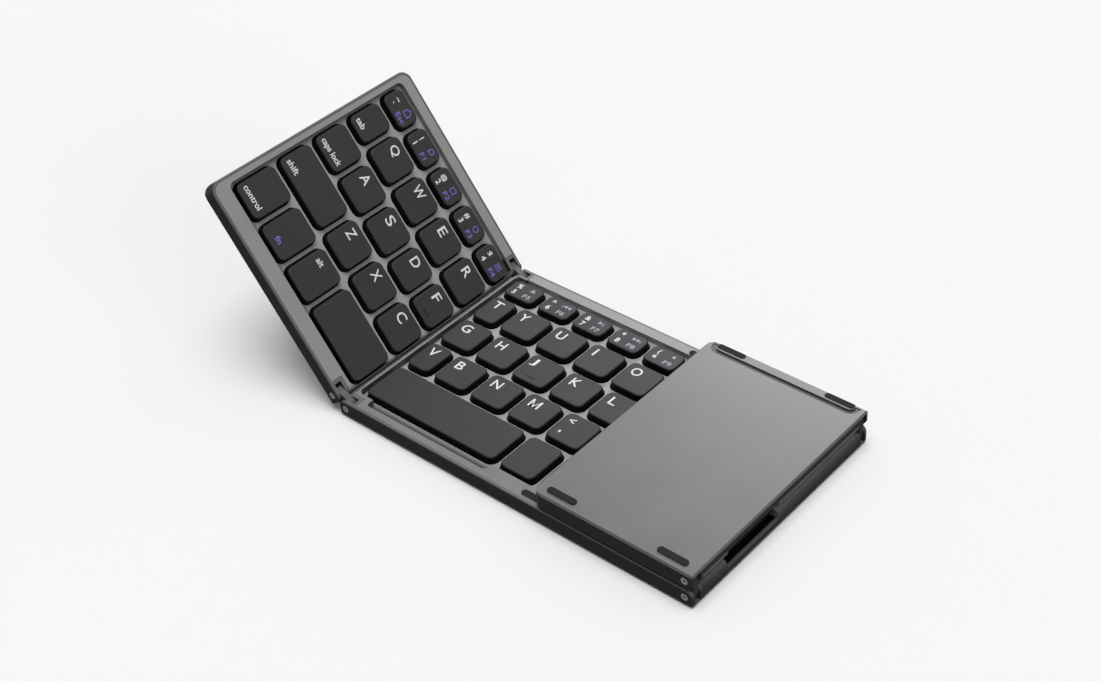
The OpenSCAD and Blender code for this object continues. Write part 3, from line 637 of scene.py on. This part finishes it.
# The keys that the touch wing covers, row by row from the back.
# Two signs stand one over the other, a word near the front, and a single mark where the letters stand.
SIGN_SHARE = 0.75
SIGN_IN_MM, SIGN_FROM_BACK_MM, SIGN_FROM_FRONT_MM = 3.2, 6.2, 3.4
COVERED_WORD_IN = (2.9, 3.8)
COVERED = ["P", "{[", "}]", "|\\", ":;", "\"'", "↵", ">.", "?/", "↑", "fn", "alt", "←", "↓", "→"]
marks = []
for text, (left, front, right, back) in zip(COVERED, key_areas("covered_keys", MID_PLACE)):
    if len(text) == 2 and not text.isalpha():
        for sign, y in ((text[0], back - SIGN_FROM_BACK_MM), (text[1], front + SIGN_FROM_FRONT_MM)):
            marks.append(print_mark(sign, LETTER_MM * SIGN_SHARE, left + SIGN_IN_MM, y, "LEFT", WORD_BOLD_MM))
    elif text.islower():
        marks.append(print_mark(text, WORD_MM, left + COVERED_WORD_IN[0], front + COVERED_WORD_IN[1], "LEFT",
                                WORD_BOLD_MM))
    else:
        marks.append(print_mark(text, LETTER_MM, left + LETTER_IN[0], back - LETTER_IN[1], "LEFT"))
finish_marks("mark_covered_keys", marks, MID_PLACE, "covered_keys_body", "white")


# HOME MARKS
# A short raised bar on each of the two index finger keys, a rounded ridge moulded with the key.
# It is coloured a deeper black than the key top, as painted shade for its shaded side, which shows as a thin
# dark line.
BAR_PAINTED_SHADE_BLACK, BAR_DARK = "#0d0d0d", "#090909"
BAR_L_MM, BAR_W_MM, BAR_H_MM = 3.8, 0.55, 0.3
BAR_FROM_FRONT_MM = 3.1
# As parts of its height: how far its edges are rounded, and how far its middle lies below the key top
BAR_ROUND, BAR_SUNK = 0.45, 0.1

# The bar's black is painted shade
bar_shade_plastic = fine_finish("home_mark_painted_shade_plastic", BAR_PAINTED_SHADE_BLACK, BAR_DARK, SPARK_MM, roughness=0.6, bump=0.1,
                          patch_mm=3)
for node, panel in (("key_f", LEFT_PLACE), ("key_j", MID_PLACE)):
    left, front, right, back = key_areas(node, panel)[0]
    bpy.ops.object.select_all(action="DESELECT")
    bpy.ops.mesh.primitive_cube_add(size=1)
    bar = bpy.context.object
    bar.name = "home_mark_" + node
    bar.data.transform(Matrix.Diagonal((BAR_L_MM, BAR_W_MM, BAR_H_MM, 1)))
    bevel = bar.modifiers.new("round", "BEVEL")
    bevel.width = BAR_H_MM * BAR_ROUND
    bevel.segments = 3
    bpy.ops.object.modifier_apply(modifier="round")
    middle = ((left + right) / 2, front + BAR_FROM_FRONT_MM, KEY_TOP_Z_MM - BAR_H_MM * BAR_SUNK)
    bar.data.transform(Matrix.Translation(middle))
    bar.data.transform(Matrix.Scale(MM, 4) @ panel)
    bar.data.materials.append(bar_shade_plastic)
    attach(bar, node + "_body")


# HINGE LINKS AND PINS
# The link bars are stamped stainless steel, and the pins are turned steel with bright riveted heads.
# The bars show a satin rolling grain, and the heads a clean ring with painted shade in the dimple.
LINK_GREY, LINK_DARK = "#666664", "#5c5c5a"
PIN_BRIGHT, PIN_DARK = "#f0f0ee", "#e0e0de"
# Rolling and turning marks are finer than this, and are drawn so that they show
ROLLED_MM, TURNED_MM = 0.15, 0.1
# Where the heads' faces stand, how deep the painted shade in a dimple lies, and how much of the colour it
# leaves
PIN_FACE_MM = 47.75
DIMPLE_MM = 0.15
DIMPLE_PAINTED_SHADE = 0.08


def painted_dimple_shade(tree):
    """The riveted heads keep their bright colour, and painted shade darkens their dimples."""
    place = add(tree, "SeparateXYZ", {0: add(tree, "TexCoord", {}).outputs["Object"]})
    side = add(tree, "Math", {"operation": "ABSOLUTE", 0: place.outputs["Y"]})
    return add(tree, "MapRange", {"Value": side.outputs[0], "From Min": (PIN_FACE_MM - DIMPLE_MM) * MM,
                                  "From Max": (PIN_FACE_MM - DIMPLE_MM / 2) * MM,
                                  "To Min": DIMPLE_PAINTED_SHADE, "To Max": 1}).outputs[0]


link_steel = fine_finish("rolled_stainless_steel", LINK_GREY, LINK_DARK, ROLLED_MM, roughness=0.45,
                         metallic=0.6, bump=0.15, patch_mm=4)
paint(link_steel, ["left_links", "right_links"])
pin_steel = fine_finish("turned_steel", PIN_BRIGHT, PIN_DARK, TURNED_MM, roughness=0.35, metallic=0.3,
                        patch_mm=2, shade=painted_dimple_shade)
paint(pin_steel, ["left_pins", "right_pins"])


# RUBBER FEET AND BUMPERS
# Soft black silicone pads pressed into their seats.
# The surface is dead matt with a fine dust-like grain.
RUBBER_BLACK, RUBBER_DARK = "#0f0f0f", "#0a0a0a"
# The grain is drawn coarser than the mould leaves it, so that it shows
MATT_GRAIN_MM = 0.2

rubber = fine_finish("black_silicone_rubber", RUBBER_BLACK, RUBBER_DARK, MATT_GRAIN_MM, roughness=0.85,
                     bump=0.2, patch_mm=3)
paint(rubber, ["mid_feet", "left_feet", "right_feet", "bumpers"])


# TOUCH PAD
# One plate of coated glass-filled plastic that clicks as a whole.
# The coat is smooth and nearly matt, so that it shows one soft reflection.
PAD_GREY, PAD_DARK = "#2b2b2c", "#262627"
# The grain is drawn coarser than the coat's own, so that it shows
COAT_GRAIN_MM = 0.12

pad_coat = fine_finish("soft_touch_coat", PAD_GREY, PAD_DARK, COAT_GRAIN_MM, roughness=0.42, bump=0.03,
                       patch_mm=25)
paint(pad_coat, ["touch_pad"])


# INNER PARTS
# A film circuit with rubber domes, a board under green solder mask, a drawn steel port shell,
# a foil pouch battery and a polyimide ribbon cable.
# They show only at the port and in the hinge window, and from inside an open case.
FILM_BLACK, FILM_DARK = "#1c1c1e", "#141416"
MASK_GREEN, MASK_DARK = "#1d5a3a", "#174a30"
SHELL_BRIGHT, SHELL_DARK = "#c9c9c7", "#b8b8b6"
FOIL_SILVER, FOIL_DARK = "#bdbdbb", "#a9a9a7"
RIBBON_BLACK, RIBBON_DARK = "#101010", "#0b0b0b"
# Grains drawn coarse enough to show close up
FILM_GRAIN_MM = 0.4
SHELL_GRAIN_MM = 0.1
FOIL_GRAIN_MM = 0.5
RIBBON_GRAIN_MM = 0.3

# The film and the solder mask have the half gloss of a printed coat
film = fine_finish("dark_film_circuit", FILM_BLACK, FILM_DARK, FILM_GRAIN_MM, roughness=0.35, patch_mm=5)
paint(film, ["mid_circuit", "left_circuit"])
mask = fine_finish("green_solder_mask", MASK_GREEN, MASK_DARK, FILM_GRAIN_MM, roughness=0.35, patch_mm=5)
paint(mask, ["main_board"])
# The shell is bright and clean, and the foil a dull silver with an uneven grain
shell = fine_finish("stamped_stainless_shell", SHELL_BRIGHT, SHELL_DARK, SHELL_GRAIN_MM, roughness=0.3,
                    metallic=1.0, bump=0.04, patch_mm=3)
paint(shell, ["charging_port"])
foil = fine_finish("laminated_foil_pouch", FOIL_SILVER, FOIL_DARK, FOIL_GRAIN_MM, roughness=0.4, metallic=0.9,
                   bump=0.2, patch_mm=6)
paint(foil, ["battery"])
# The ribbon is smooth black film with a satin gloss
ribbon = fine_finish("black_polyimide_film", RIBBON_BLACK, RIBBON_DARK, RIBBON_GRAIN_MM, roughness=0.4,
                     bump=0.03, patch_mm=5)
paint(ribbon, ["right_ribbon"])
